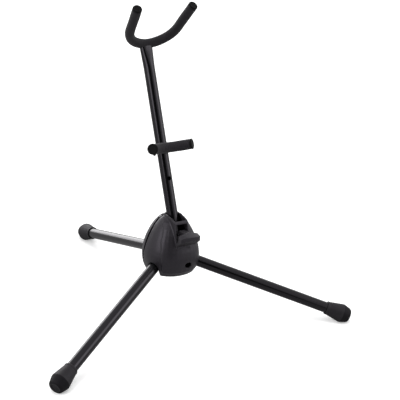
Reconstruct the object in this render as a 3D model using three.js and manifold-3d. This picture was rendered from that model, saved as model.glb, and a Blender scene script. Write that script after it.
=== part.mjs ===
// Folding three-legged stand for an alto or tenor saxophone.
//
// Millimetres, +Z up, the player's side towards -Y, +X to the right seen from that side.
// It is built with the three leg axes meeting on the Z axis and the floor at z = 0. At the end the whole
// stand is moved so that its origin is at the bottom centre of its box.
import * as THREE from "three";
import { mergeVertices } from "three/addons/utils/BufferGeometryUtils.js";
import Module from "manifold-3d";

const wasm = await Module();
wasm.setup();

// ---------------------------------------------------------------- driving dimensions

const degree = Math.PI / 180;
const clearance = 0.3; // between pieces that touch or fit in each other
const far = 200; // longer than any cut needs to be

// tripod
const legAzimuths = { rear: 90, front_left: 210, front_right: 330 };
const legDiameter = 16;
const legWall = 1.2;
const legSlope = 18.2 * degree; // below the horizontal
const legReach = 287.2; // from the point where the leg axes meet to the end of a foot cap
const legPivotRadius = 27; // pin axis to the hub's axis
const legTail = 8; // tube past its pin, inside the hub
const legSideGap = 0.9; // tube to the cheeks of its slot
const legPinDiameter = 5;
const cheekThickness = 3.4;
const pinAccessDiameter = 9;
const pinAccessRise = 4; // its centre above the pin

// foot caps
const capLength = 37.2;
const capCollarDiameter = 20;
const capCollarLength = 4;
const capBellyDiameter = 27.5;
const capBellyFromEnd = 12.2;
const capBellyLand = 1; // length of the belly's own band
const capEndDiameter = 21;
const capEndRound = 1.8;
const capEndWall = 3.5;
const capDimpleDiameter = 13;
const capDimpleDepth = 1.2;
const soleCut = 0.9; // flat ground into the lowest point of each cap

// hub
const hubSkirt = 23; // below the point where the leg axes meet
const hubWall = 3;
const hubCrown = 59; // top of the dome above the point where the leg axes meet
const towerWall = 2.4; // sides of the tower around the well
const partingY = 3;
const grooveWidth = 3.6;
const grooveDepth = 2.1;
const grooveTop = 52;
const apronProud = 1.3; // the front face stands out of the dome by this much
const screwDiameter = 3;
const screwHeadDiameter = 6;
const screwHeadHeight = 2.2;
const screwLength = 15.5;
const screwSeatY = 10;
const screwBossSize = 9;
const upperScrews = { x: 23.5, z: 20.5 };
const lowerScrews = { x: 31, z: 0 };

// upright
const tubeDiameter = 16;
const tubeWall = 1.2;
const uprightLean = 25.9 * degree; // back from the vertical
const uprightTravel = 18.5 * degree; // forward, to the carrying position
const uprightPivot = { y: -21.4, z: 20 };
const uprightPinDiameter = 5;
const yokeReach = 284.9; // pivot to the axis of the yoke rod
const tubeFootGap = 10; // pivot to the lower end of the tube
const flatWidth = 19;
const flatThickness = 10.6;
const flatLength = 38;
const restHeight = 136.3; // pivot to the bolt of the lower rest
const spareHoleHeight = 92.3;
const boltDiameter = 6;
const ratchetRadius = 12.5;
const notchDepth = 1.4; // of the recess that the lever's tooth sits in
const sectorMargin = 11.5 * degree; // of full radius past each end of the recess
const notchWidth = 2.6; // room for the tooth at each end of the recess
const plugLength = 22;

// well of the hub, which holds the upright and the lever
const wellSideGap = 0.8;
const wellFront = -26.3;
const wellFloor = 6;
const mechanismFront = -39.6;
const windowBottom = 27;
const windowTop = 52;

// yoke and lower rest
const rodDiameter = 8;
const sleeveDiameter = 13.5;
const tipCapThickness = 2.2;
const yokeLean = 36.4 * degree; // arms lean forward from the vertical
const yokeBend = 38; // radius of the bow
const yokeDepth = 77.5; // bow to tips, along the arms
const yokeSplay = 7.2 * degree;
const yokeShift = 1.5; // the rod is welded on this far to the right of the tube
const restChord = 60.8;
const restDip = 12.5;
const restStandoff = 1.4; // sleeve to the tube
const restSleeveDiameter = 16.2;

// lever
const leverPivot = { y: -36.6, z: 23.5 };
const leverPinDiameter = 3;
const leverBarrelDiameter = 5.4;
const leverBarrelHalf = 4.5;
const leverStemWidth = 2 * leverBarrelHalf;
const toothAngle = 135 * degree; // seen from the upright's pivot, from +Y towards +Z
const toothWidth = 2;
const toothReach = 17;
const tabWidth = 31;
const tabArchRadius = 38;
const tabNoseRadius = 33;
const tabFront = -61;
const tabDepth = 11;
const tabFrontHeight = 45.8;
const tabBackHeight = 48;
const tabRimHeight = 5; // of the front face, at its middle
const tabFootFront = -44.5; // where its underside comes back to the tower
const tabFootHeight = 26;
const tabFootRise = 12;
const leverGap = 1.4; // tab to the hub
const springWireDiameter = 1;
const springTurns = 2.5;

// wing nut and washer
const washerDiameter = 13;
const washerThickness = 1.2;
const nutDiameter = 10;
const nutLength = 6.5;
const wingSpan = 22;
const wingHeight = 8;
const wingThickness = 3;
const nutTurn = 58 * degree; // how far it has been turned when it is tight

// height of the point where the leg axes meet, so that the caps stand on the floor
const centreHeight =
  (legReach - capBellyFromEnd) * Math.sin(legSlope) + (capBellyDiameter / 2) * Math.cos(legSlope) - soleCut;

// ---------------------------------------------------------------- solids

function solidOf(geometry) {
  const bare = geometry.clone();
  bare.deleteAttribute("normal");
  bare.deleteAttribute("uv");
  const merged = mergeVertices(bare, 1e-4);
  const triVerts = new Uint32Array(merged.index.array);
  return new wasm.Manifold(
    new wasm.Mesh({ numProp: 3, vertProperties: merged.attributes.position.array, triVerts }),
  );
}

function geometryOf(solid) {
  const mesh = solid.getMesh();
  return new THREE.BufferGeometry()
    .setAttribute("position", new THREE.BufferAttribute(mesh.vertProperties, 3))
    .setIndex(new THREE.BufferAttribute(mesh.triVerts, 1))
    .toNonIndexed();
}

const join = (...solids) => solids.reduce((a, b) => a.add(b));
const cut = (solid, ...tools) => tools.reduce((a, b) => a.subtract(b), solid);

// A block between two corners.
function block(low, high) {
  const geometry = new THREE.BoxGeometry(high[0] - low[0], high[1] - low[1], high[2] - low[2]);
  geometry.translate((low[0] + high[0]) / 2, (low[1] + high[1]) / 2, (low[2] + high[2]) / 2);
  return solidOf(geometry);
}

// A round bar from one point to another.
function bar(diameter, from, to, sides = 14) {
  const a = new THREE.Vector3(...from);
  const b = new THREE.Vector3(...to);
  const length = a.distanceTo(b);
  const geometry = new THREE.CylinderGeometry(diameter / 2, diameter / 2, length, sides);
  const turn = new THREE.Quaternion().setFromUnitVectors(
    new THREE.Vector3(0, 1, 0),
    b.clone().sub(a).divideScalar(length),
  );
  geometry.applyQuaternion(turn);
  const middle = a.add(b).divideScalar(2);
  return solidOf(geometry.translate(middle.x, middle.y, middle.z));
}

// A turned piece: its profile of [radius, height] points runs along the local X axis.
function turned(profile, sides) {
  const points = profile.map(([radius, along]) => new THREE.Vector2(radius, along));
  return solidOf(new THREE.LatheGeometry(points, sides).rotateZ(-Math.PI / 2));
}

// A closed skin over rings that all have the same number of points, listed from bottom to top.
function loft(rings) {
  const count = rings[0].length;
  const middle = (ring) => ring.reduce((a, b) => a.clone().add(b)).divideScalar(count);
  const points = [...rings.flat(), middle(rings[0]), middle(rings.at(-1))];
  const bottom = points.length - 2;
  const top = points.length - 1;
  const last = (rings.length - 1) * count;
  const faces = [];
  for (let i = 0; i < count; i++) {
    const next = (i + 1) % count;
    faces.push(bottom, next, i, top, last + i, last + next);
    for (let r = 0; r < rings.length - 1; r++) {
      const lower = r * count;
      const upper = lower + count;
      faces.push(lower + i, lower + next, upper + next, lower + i, upper + next, upper + i);
    }
  }
  const geometry = new THREE.BufferGeometry().setFromPoints(points);
  geometry.setIndex(faces);
  return solidOf(geometry);
}

// A flat outline of [y, z] points, as thick as the two x values are apart.
function plate(outline, fromX, toX) {
  const shape = new THREE.Shape(outline.map(([y, z]) => new THREE.Vector2(y, z)));
  const geometry = new THREE.ExtrudeGeometry(shape, { depth: toX - fromX, bevelEnabled: false });
  // shape x -> Y, shape y -> Z, depth -> X
  const axes = new THREE.Matrix4().makeBasis(
    new THREE.Vector3(0, 1, 0),
    new THREE.Vector3(0, 0, 1),
    new THREE.Vector3(1, 0, 0),
  );
  return solidOf(geometry.applyMatrix4(axes).translate(fromX, 0, 0));
}

// A round section carried along a curve, with a bore right through it if one is given.
function swept(curve, diameter, steps, sides, bore = 0, boreSides = 8) {
  const circle = (across, count) =>
    Array.from({ length: count }, (_, i) => {
      const angle = (i / count) * 2 * Math.PI;
      return new THREE.Vector2((across / 2) * Math.cos(angle), (across / 2) * Math.sin(angle));
    });
  const section = new THREE.Shape(circle(diameter, sides));
  if (bore) section.holes.push(new THREE.Path(circle(bore, boreSides)));
  return solidOf(new THREE.ExtrudeGeometry(section, { steps, extrudePath: curve, curveSegments: 1 }));
}

// ---------------------------------------------------------------- scene

const finish = {
  plastic: new THREE.MeshStandardMaterial({ color: 0x2b2a2d, roughness: 0.5, metalness: 0 }),
  gloss: new THREE.MeshStandardMaterial({ color: 0x0b0b0c, roughness: 0.22, metalness: 0.1 }),
  foam: new THREE.MeshStandardMaterial({ color: 0x242326, roughness: 0.85, metalness: 0 }),
  rubber: new THREE.MeshStandardMaterial({ color: 0x1d1d1f, roughness: 0.7, metalness: 0 }),
  steel: new THREE.MeshStandardMaterial({ color: 0x8d8f92, roughness: 0.35, metalness: 1 }),
};

const stand = new THREE.Group();

function add(group, name, solid, material) {
  const mesh = new THREE.Mesh(geometryOf(solid), finish[material].clone());
  mesh.name = name;
  group.add(mesh);
}

// One group per leg: X runs outwards along the leg's axis, Y along its pin.
function legGroup(azimuth) {
  const group = new THREE.Group();
  group.position.set(0, 0, centreHeight);
  group.rotation.set(0, legSlope, azimuth * degree, "ZYX");
  group.updateMatrix();
  return group;
}

const legPivotAlong = legPivotRadius / Math.cos(legSlope);
const slotHalf = legDiameter / 2 + legSideGap;

// ---------------------------------------------------------------- legs

const legInner = legPivotAlong - legTail;
const legOuter = legReach - capEndWall - clearance;
const legPinHalf = slotHalf + cheekThickness - clearance;

for (const [place, azimuth] of Object.entries(legAzimuths)) {
  const group = legGroup(azimuth);
  stand.add(group);

  const outerRadius = legDiameter / 2;
  const innerRadius = outerRadius - legWall;
  const tube = turned(
    [
      [innerRadius, legInner],
      [outerRadius, legInner],
      [outerRadius, legOuter],
      [innerRadius, legOuter],
      [innerRadius, legInner],
    ],
    24,
  );
  const pinHole = bar(
    legPinDiameter + 2 * clearance,
    [legPivotAlong, -far, 0],
    [legPivotAlong, far, 0],
  );
  add(group, `leg_tube_${place}`, cut(tube, pinHole), "gloss");

  const pin = bar(legPinDiameter, [legPivotAlong, -legPinHalf, 0], [legPivotAlong, legPinHalf, 0]);
  add(group, `leg_pin_${place}`, pin, "steel");

  const mouth = legReach - capLength;
  const bore = outerRadius + clearance;
  const cap = turned(
    [
      [0, legReach - capEndWall],
      [bore, legReach - capEndWall],
      [bore, mouth],
      [capCollarDiameter / 2 - 0.6, mouth],
      [capCollarDiameter / 2, mouth + 0.8],
      [capCollarDiameter / 2, mouth + capCollarLength],
      [capBellyDiameter / 2, legReach - capBellyFromEnd],
      [capBellyDiameter / 2, legReach - capBellyFromEnd + capBellyLand],
      [capEndDiameter / 2, legReach - capEndRound],
      [capEndDiameter / 2 - capEndRound, legReach],
      [capDimpleDiameter / 2, legReach],
      [capDimpleDiameter / 2 - 1.2, legReach - capDimpleDepth],
      [0, legReach - capDimpleDepth],
    ],
    24,
  );
  const floor = new THREE.BoxGeometry(3 * legReach, 3 * legReach, far).translate(0, 0, -far / 2);
  floor.applyMatrix4(group.matrix.clone().invert());
  add(group, `foot_cap_${place}`, cut(cap, solidOf(floor)), "rubber");
}

// ---------------------------------------------------------------- hub

// The dome's level sections, from the skirt to the crown: height, half width, front and back.
const hubSections = [
  [-hubSkirt, 34.6, -38, 28.6],
  [-17, 37.6, -42, 31],
  [-6, 39.8, -44.4, 33],
  [3, 40.2, -45, 33.4],
  [13, 38.6, -43.2, 32.4],
  [24, 35, -38.8, 30.2],
  [36, 29.4, -33, 26],
  [46, 23, -26, 20.6],
  [52, 17.6, -19.8, 15.8],
  [56.5, 11.5, -13.6, 10.8],
  [hubCrown, 6, -7.6, 5.6],
];
const squareness = 2.15; // 2 is an ellipse

// Right half of the raised apron on the hub's front, seen from the front: [x, height].
const apronOutline = [
  [27.6, -hubSkirt - 1],
  [30.6, -2],
  [30.6, 14],
  [28, 28],
  [18, 52],
  [14, hubCrown + 1],
];

// The tower's side outline, seen from +X: it stands out of the dome around the well.
const towerOutline = [
  [-41.5, 22],
  [-28.4, 56],
  [-26.5, 57.2],
  [-19, 58.8],
  [-9, 59.8],
  [1, 58.6],
  [8, 55.4],
  [11, 49],
  [11, 2],
  [-41.5, 2],
];

// The dome, grown or shrunk by an offset, between two heights above the leg axes' meeting point.
function dome(offset, from, to, levels, sides) {
  const along = (column) => {
    const knots = hubSections.map((section) => new THREE.Vector3(section[column], 0, section[0]));
    return new THREE.CatmullRomCurve3(knots).getPoints(400);
  };
  const [widths, fronts, backs] = [along(1), along(2), along(3)];
  const rings = [];
  for (let i = 0; i <= levels; i++) {
    const z = from + ((to - from) * i) / levels;
    const level = (points) => points[Math.max(points.findIndex((p) => p.z >= z - 1e-6), 0)].x;
    const halfWidth = level(widths) + offset;
    const halfDepth = (level(backs) - level(fronts)) / 2 + offset;
    const centreY = (level(backs) + level(fronts)) / 2;
    const power = 2 / squareness;
    const ring = [];
    for (let k = 0; k < sides; k++) {
      const angle = ((k + 0.5) / sides) * 2 * Math.PI;
      const c = Math.cos(angle);
      const s = Math.sin(angle);
      const x = halfWidth * Math.sign(c) * Math.abs(c) ** power;
      const y = halfDepth * Math.sign(s) * Math.abs(s) ** power + centreY;
      ring.push(new THREE.Vector3(x, y, z + centreHeight));
    }
    rings.push(ring);
  }
  return loft(rings);
}

const up = (height) => height + centreHeight;
const domeLevels = 11;
const domeSides = 36;
const domeOuter = dome(0, -hubSkirt, hubCrown, domeLevels, domeSides);
const domeLimit = dome(apronProud, -hubSkirt, hubCrown, domeLevels, domeSides);
const domeInner = dome(-hubWall, -hubSkirt - 1, hubCrown - 10, 8, 24);

// The tower, grown by an offset.
function tower(offset) {
  const outline = towerOutline.map(([y, z]) => [y - offset, up(z) + offset]);
  const half = tubeDiameter / 2 + wellSideGap + towerWall + offset;
  return plate(outline, -half, half);
}

// A block in the level frame of a leg: X outwards, Y along its pin.
function legBlock(azimuth, low, high) {
  const turn = new THREE.Matrix4().makeRotationZ(azimuth * degree);
  const size = high.map((v, i) => v - low[i]);
  const geometry = new THREE.BoxGeometry(...size);
  geometry.translate(...high.map((v, i) => (v + low[i]) / 2));
  return solidOf(geometry.applyMatrix4(turn));
}

// A cut given in a leg's own sloping frame.
function legCut(azimuth, solid) {
  return solidOf(geometryOf(solid).applyMatrix4(legGroup(azimuth).matrix));
}

const wellHalf = tubeDiameter / 2 + wellSideGap;
const tubeBackAtCrown =
  uprightPivot.y +
  Math.tan(uprightLean) * (hubCrown - uprightPivot.z) +
  tubeDiameter / 2 / Math.cos(uprightLean);
const wellBack = tubeBackAtCrown + clearance;

const mirrored = apronOutline.map(([x, z]) => [-x, z]).reverse();
const apronFront = new THREE.ExtrudeGeometry(
  new THREE.Shape([...apronOutline, ...mirrored].map(([x, z]) => new THREE.Vector2(x, up(z)))),
  { depth: far, bevelEnabled: false },
);
const apron = solidOf(apronFront.rotateX(Math.PI / 2)).intersect(domeLimit);
const outside = join(domeOuter, tower(0), apron);
let hub = cut(outside, domeInner);

// cheeks beside each leg slot, and the box that holds the upright and the lever
const cheekTop = up(wellFloor);
const cheekOuter = slotHalf + cheekThickness;
const cheekInner = legPivotRadius - 10;
const cheeks = Object.values(legAzimuths).map((azimuth) =>
  legBlock(azimuth, [cheekInner, -cheekOuter, 0], [far, cheekOuter, cheekTop]),
);
const box = block(
  [-wellHalf - towerWall, mechanismFront - hubWall, up(wellFloor) - towerWall],
  [wellHalf + towerWall, wellBack + towerWall, up(hubCrown)],
);
const ledges = [upperScrews, lowerScrews].flatMap(({ x, z }) =>
  [-1, 1].map((side) => {
    const inner = x - screwBossSize / 2;
    const outer = x + far;
    const ends = [side * inner, side * outer].sort((a, b) => a - b);
    return block(
      [ends[0], screwSeatY - screwLength - 2, up(z) - screwBossSize / 2],
      [ends[1], far, up(z) + screwBossSize / 2],
    );
  }),
);
hub = join(hub, join(...cheeks, box, ...ledges).intersect(outside));

// slots that let each leg swing from its working slope to straight down
const slots = Object.values(legAzimuths).flatMap((azimuth) => {
  const radius = legDiameter / 2 + legSideGap;
  const along = bar(2 * radius, [legInner - legSideGap, 0, 0], [far, 0, 0], 24);
  const below = block([legInner - legSideGap, -radius, -far], [far, radius, 0]);
  const swing = Math.hypot(legTail, legDiameter / 2) + 2 * clearance;
  const around = bar(2 * swing, [legPivotAlong, -radius, 0], [legPivotAlong, radius, 0], 20);
  return [legCut(azimuth, join(along, below, around))];
});

// pin holes through the cheeks, and the access hole in the outer wall on one side
const pinHoles = Object.values(legAzimuths).flatMap((azimuth) => {
  const through = bar(
    legPinDiameter + 2 * clearance,
    [legPivotAlong, -cheekOuter - clearance, 0],
    [legPivotAlong, cheekOuter + clearance, 0],
  );
  const access = bar(
    pinAccessDiameter,
    [legPivotAlong, -far / 3, pinAccessRise],
    [legPivotAlong, -cheekOuter, pinAccessRise],
    24,
  );
  return [legCut(azimuth, join(through, access))];
});

const well = block([-wellHalf, wellFront, up(wellFloor)], [wellHalf, wellBack, up(hubCrown + 5)]);
const mechanism = block(
  [-wellHalf, mechanismFront, up(wellFloor)],
  [wellHalf, wellFront + 1, up(windowTop)],
);
const window = block([-wellHalf, -far, up(windowBottom)], [wellHalf, wellFront + 1, up(windowTop)]);
const tiltPinHole = bar(
  uprightPinDiameter + 2 * clearance,
  [-wellHalf - towerWall - 1, uprightPivot.y, up(uprightPivot.z)],
  [wellHalf + towerWall + 1, uprightPivot.y, up(uprightPivot.z)],
);
const leverPinHole = bar(
  leverPinDiameter + 2 * clearance,
  [-wellHalf - towerWall - 1, leverPivot.y, up(leverPivot.z)],
  [wellHalf + towerWall + 1, leverPivot.y, up(leverPivot.z)],
);
hub = cut(hub, ...slots, ...pinHoles, well, mechanism, window, tiltPinHole, leverPinHole);

// the two shells, a groove along their joint, and the screws that hold them together
const screws = [];
const screwCuts = [];
const screwEnd = screwSeatY - screwLength;
for (const [level, { x, z }] of Object.entries({ upper: upperScrews, lower: lowerScrews })) {
  for (const [side, sign] of [["left", -1], ["right", 1]]) {
    const at = (y) => [sign * x, y, up(z)];
    const shank = bar(screwDiameter, at(screwEnd), at(screwSeatY + 0.5), 12);
    const head = bar(screwHeadDiameter, at(screwSeatY), at(screwSeatY + screwHeadHeight), 16);
    const slotHalfWidth = 0.5;
    const driverSlot = block(
      [sign * x - screwHeadDiameter, screwSeatY + screwHeadHeight - 1, up(z) - slotHalfWidth],
      [sign * x + screwHeadDiameter, screwSeatY + screwHeadHeight + 1, up(z) + slotHalfWidth],
    );
    screws.push([`hub_screw_${level}_${side}`, cut(join(shank, head), driverSlot)]);
    screwCuts.push(bar(screwDiameter + 2 * clearance, at(screwEnd - clearance), at(far), 12));
    screwCuts.push(bar(screwHeadDiameter + 1, at(screwSeatY - clearance), at(far), 16));
  }
}
hub = cut(hub, ...screwCuts);

const skin = domeLimit.subtract(dome(-grooveDepth, -hubSkirt, hubCrown, domeLevels, domeSides));
const grooveTaper = plate(
  [
    [partingY, up(-8)],
    [partingY + grooveWidth, up(grooveTop)],
    [partingY, up(grooveTop)],
  ],
  -far,
  far,
);
const frontHalf = block([-far, -far, 0], [far, partingY - clearance / 2, 2 * far]);
const rearHalf = block([-far, partingY + clearance / 2, 0], [far, far, 2 * far]);
add(stand, "hub_front_shell", hub.intersect(frontHalf), "plastic");
add(stand, "hub_rear_shell", cut(hub.intersect(rearHalf), grooveTaper.intersect(skin)), "plastic");
for (const [name, solid] of screws) add(stand, name, solid, "steel");

// ---------------------------------------------------------------- upright

// Z runs up the tube, from the tilt pin; -Y is its front.
const upright = new THREE.Group();
upright.position.set(0, uprightPivot.y, up(uprightPivot.z));
upright.rotation.x = -uprightLean;
stand.add(upright);

const tiltPinHalf = wellHalf + towerWall - clearance;
add(upright, "upright_pin", bar(uprightPinDiameter, [-tiltPinHalf, 0, 0], [tiltPinHalf, 0, 0]), "steel");

// The yoke lies in a plane through the rod's axis; v runs up its arms.
const yokeTilt = new THREE.Vector3(0, -Math.sin(yokeLean + uprightLean), Math.cos(yokeLean + uprightLean));
const yokePoint = (x, v) => new THREE.Vector3(x + yokeShift, 0, yokeReach).addScaledVector(yokeTilt, v);

// A bow of a quarter circle on each side, then straight arms that splay a little.
function yokeCurve() {
  const points = [];
  const turn = 90 * degree - yokeSplay;
  const bowSteps = 5;
  const bowTop = yokeBend * (1 - Math.cos(turn));
  const armSteps = 2;
  for (let i = 1; i <= bowSteps; i++) {
    const angle = (turn * i) / bowSteps;
    points.push([yokeBend * Math.sin(angle), yokeBend * (1 - Math.cos(angle))]);
  }
  for (let i = 1; i <= armSteps; i++) {
    const rise = ((yokeDepth - bowTop) * i) / armSteps;
    points.push([yokeBend * Math.sin(turn) + rise * Math.tan(yokeSplay), bowTop + rise]);
  }
  const right = points.map(([x, v]) => yokePoint(x, v));
  const left = points.map(([x, v]) => yokePoint(-x, v)).reverse();
  return new THREE.CatmullRomCurve3([...left, yokePoint(0, 0), ...right], false, "centripetal");
}

// The outline of the tube at one height: a circle, or near the top a flattened oval.
function tubeRing(width, thickness, z, inset) {
  const sides = 24;
  const radius = thickness / 2 - inset;
  const spread = (width - thickness) / 2;
  const ring = [];
  for (let i = 0; i < sides; i++) {
    const angle = ((i + 0.5) / sides) * 2 * Math.PI;
    const x = radius * Math.cos(angle) + Math.sign(Math.cos(angle)) * spread;
    ring.push(new THREE.Vector3(x, radius * Math.sin(angle), z));
  }
  return ring;
}

function tubeBody(inset, bottom, top) {
  const rings = [tubeRing(tubeDiameter, tubeDiameter, bottom, inset)];
  const flatSteps = 4;
  for (let i = 0; i <= flatSteps; i++) {
    const share = i / flatSteps;
    const eased = share * share * (3 - 2 * share);
    const width = tubeDiameter + (flatWidth - tubeDiameter) * eased;
    const thickness = tubeDiameter + (flatThickness - tubeDiameter) * eased;
    rings.push(tubeRing(width, thickness, yokeReach - flatLength + share * flatLength, inset));
  }
  rings.push(tubeRing(flatWidth, flatThickness, top, inset));
  return loft(rings);
}

const yokeSteps = 24;
const rodSides = 8;
const tubeTrim = 4; // the tube is made this much too long and then cut off at the rod
const yokeSaddle = swept(yokeCurve(), rodDiameter + 2 * clearance, yokeSteps, rodSides);
const tubeCuts = [
  tubeBody(tubeWall, tubeFootGap - tubeTrim, yokeReach + 2 * tubeTrim),
  block([-far, -far, yokeReach], [far, far, yokeReach + far]),
  yokeSaddle,
  bar(boltDiameter + 2 * clearance, [0, -far, restHeight], [0, far, restHeight]),
  bar(boltDiameter, [0, -far, spareHoleHeight], [0, 0, spareHoleHeight]),
];
add(upright, "upright_tube", cut(tubeBody(0, tubeFootGap, yokeReach + tubeTrim), ...tubeCuts), "gloss");

// Foot of the upright: a plug in the tube, the pin's bearing and the sector whose recess holds the tooth.
const stopAngles = [toothAngle + uprightLean - uprightTravel, toothAngle + uprightLean];
const footHalf = tubeDiameter / 2;
const recessRadius = ratchetRadius - notchDepth;
const recessMargin = notchWidth / 2 / recessRadius;
const arc = (radius, from, to, steps) =>
  Array.from({ length: steps + 1 }, (_, i) => {
    const angle = from + ((to - from) * i) / steps;
    return [radius * Math.cos(angle), radius * Math.sin(angle)];
  });
const sectorOutline = [
  [0, 0],
  ...arc(ratchetRadius, stopAngles[0] - sectorMargin, stopAngles[0] - recessMargin, 3),
  ...arc(recessRadius, stopAngles[0] - recessMargin, stopAngles[1] + recessMargin, 8),
  ...arc(ratchetRadius, stopAngles[1] + recessMargin, stopAngles[1] + sectorMargin, 3),
];
const footEnd = tubeFootGap - clearance;
const foot = cut(
  join(
    bar(2 * footEnd, [-footHalf, 0, 0], [footHalf, 0, 0], 28),
    plate(sectorOutline, -footHalf, footHalf),
    bar(tubeDiameter, [0, 0, 0], [0, 0, footEnd], 28).intersect(
      block([-footHalf, -far, -1], [footHalf, far, far]),
    ),
    bar(tubeDiameter - 2 * tubeWall - 2 * clearance, [0, 0, 0], [0, 0, footEnd + plugLength], 28),
  ),
  bar(uprightPinDiameter + 2 * clearance, [-far, 0, 0], [far, 0, 0]),
);
add(upright, "upright_foot", foot, "plastic");

// ---------------------------------------------------------------- yoke and lower rest

// The lower rest is one arc across the front of the tube, square to it.
const restOffset = tubeDiameter / 2 + restSleeveDiameter / 2 + restStandoff;
const restRadius = ((restChord / 2) ** 2 + restDip ** 2) / (2 * restDip);
function restCurve() {
  const half = Math.asin(restChord / 2 / restRadius);
  const points = [];
  const steps = 8;
  for (let i = -steps / 2; i <= steps / 2; i++) {
    const angle = (half * i) / (steps / 2);
    const ahead = restRadius * (1 - Math.cos(angle));
    points.push(new THREE.Vector3(restRadius * Math.sin(angle), -restOffset - ahead, restHeight));
  }
  return new THREE.CatmullRomCurve3(points, false, "centripetal");
}

// A rod, the sleeve over it and a cap on each tip. Cuts are taken out of the sleeve.
function padded(group, prefix, curve, sleeveOuter, steps, sleeveCuts, rodExtras) {
  const rod = swept(curve, rodDiameter, steps, rodSides);
  const bore = (rodDiameter + 2 * clearance) / Math.cos(Math.PI / rodSides);
  add(group, `${prefix}_rod`, join(rod, ...rodExtras), "gloss");
  const sleeve = swept(curve, sleeveOuter, steps, 14, bore, rodSides);
  add(group, `${prefix}_sleeve`, cut(sleeve, ...sleeveCuts), "foam");
  for (const [side, end] of [["left", 0], ["right", 1]]) {
    const outward = curve.getTangent(end).multiplyScalar(end ? 1 : -1);
    const tip = curve.getPoint(end);
    const at = (distance) => tip.clone().addScaledVector(outward, distance).toArray();
    const disc = bar(sleeveOuter, at(clearance), at(clearance + tipCapThickness), 20);
    const rim = bar(sleeveOuter - 2, at(clearance + 1), at(clearance + tipCapThickness + 0.7), 20);
    add(group, `${prefix}_cap_${side}`, join(disc, rim), "rubber");
  }
}

const tubeEndSlot = block(
  [-flatWidth / 2 - clearance, -flatThickness / 2 - clearance, yokeReach - far],
  [flatWidth / 2 + clearance, flatThickness / 2 + clearance, yokeReach + clearance],
);
padded(upright, "yoke", yokeCurve(), sleeveDiameter, yokeSteps, [tubeEndSlot], []);

// ---------------------------------------------------------------- lower rest, bolt and wing nut

const boltFront = -restOffset;
const nutFace = tubeDiameter / 2 + clearance + washerThickness + clearance;
const boltBack = nutFace + nutLength + 2;
const stud = bar(boltDiameter, [0, boltFront, restHeight], [0, boltBack, restHeight]);
const studHole = bar(boltDiameter + 2 * clearance, [0, boltFront, restHeight], [0, 0, restHeight]);
padded(upright, "rest", restCurve(), restSleeveDiameter, 12, [studHole], [stud]);

const washer = cut(
  bar(
    washerDiameter,
    [0, tubeDiameter / 2 + clearance, restHeight],
    [0, tubeDiameter / 2 + clearance + washerThickness, restHeight],
  ),
  bar(boltDiameter + 2 * clearance, [0, -far, restHeight], [0, far, restHeight]),
);
add(upright, "rest_washer", washer, "steel");

// Wing nut: a round body with two ears that stand out to the sides and back.
const ear = (side) => {
  const root = [side * nutDiameter * 0.2, nutFace + 1];
  const outline = [
    root,
    [side * nutDiameter * 0.5, nutFace + 0.6],
    [side * (wingSpan / 2 - 2), nutFace + wingHeight / 2],
    [side * (wingSpan / 2), nutFace + wingHeight - 2],
    [side * (wingSpan / 2 - 1), nutFace + wingHeight],
    [side * (wingSpan / 2 - 3.5), nutFace + wingHeight],
    [side * nutDiameter * 0.45, nutFace + nutLength - 1],
    [side * nutDiameter * 0.2, nutFace + nutLength - 1],
  ];
  const shape = new THREE.Shape(outline.map(([x, y]) => new THREE.Vector2(x, y)));
  const geometry = new THREE.ExtrudeGeometry(shape, { depth: wingThickness, bevelEnabled: false });
  geometry.translate(0, 0, -wingThickness / 2).rotateY(-nutTurn);
  return solidOf(geometry.translate(0, 0, restHeight));
};
const wingNut = cut(
  join(
    bar(nutDiameter, [0, nutFace, restHeight], [0, nutFace + nutLength, restHeight], 24),
    ear(-1),
    ear(1),
  ),
  bar(boltDiameter + 2 * clearance, [0, -far, restHeight], [0, far, restHeight]),
);
add(upright, "wing_nut", wingNut, "plastic");

// ---------------------------------------------------------------- lock lever

const leverAt = (x) => [x, leverPivot.y, up(leverPivot.z)];
const fromPivot = (radius, across) => [
  uprightPivot.y + radius * Math.cos(toothAngle) + across * Math.sin(toothAngle),
  up(uprightPivot.z) + radius * Math.sin(toothAngle) - across * Math.cos(toothAngle),
];
const toothTip = ratchetRadius - notchDepth + clearance;
const tooth = plate(
  [
    fromPivot(toothTip, -toothWidth / 2),
    fromPivot(toothTip, toothWidth / 2),
    fromPivot(toothReach, toothWidth / 2),
    fromPivot(toothReach, -toothWidth / 2),
  ],
  -leverStemWidth / 2,
  leverStemWidth / 2,
);
const stemHalf = 2;
const elbow = fromPivot(toothReach - 1, 0);
const tabBack = tabFront + tabDepth;
const tabTop = (y) => up(tabFrontHeight) + ((y - tabFront) * (tabBackHeight - tabFrontHeight)) / tabDepth;
const stemTop = up(tabBackHeight) - 1;
const stem = plate(
  [
    [leverPivot.y - stemHalf, up(leverPivot.z)],
    [leverPivot.y + stemHalf, up(leverPivot.z)],
    [elbow[0] + stemHalf, elbow[1]],
    [elbow[0] + stemHalf - 1, stemTop - stemHalf],
    [tabBack - 1, stemTop],
    [tabBack - 1, stemTop - 2 * stemHalf],
    [elbow[0] - stemHalf - 1, stemTop - 3 * stemHalf],
    [elbow[0] - stemHalf, elbow[1]],
  ],
  -leverStemWidth / 2,
  leverStemWidth / 2,
);
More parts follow.
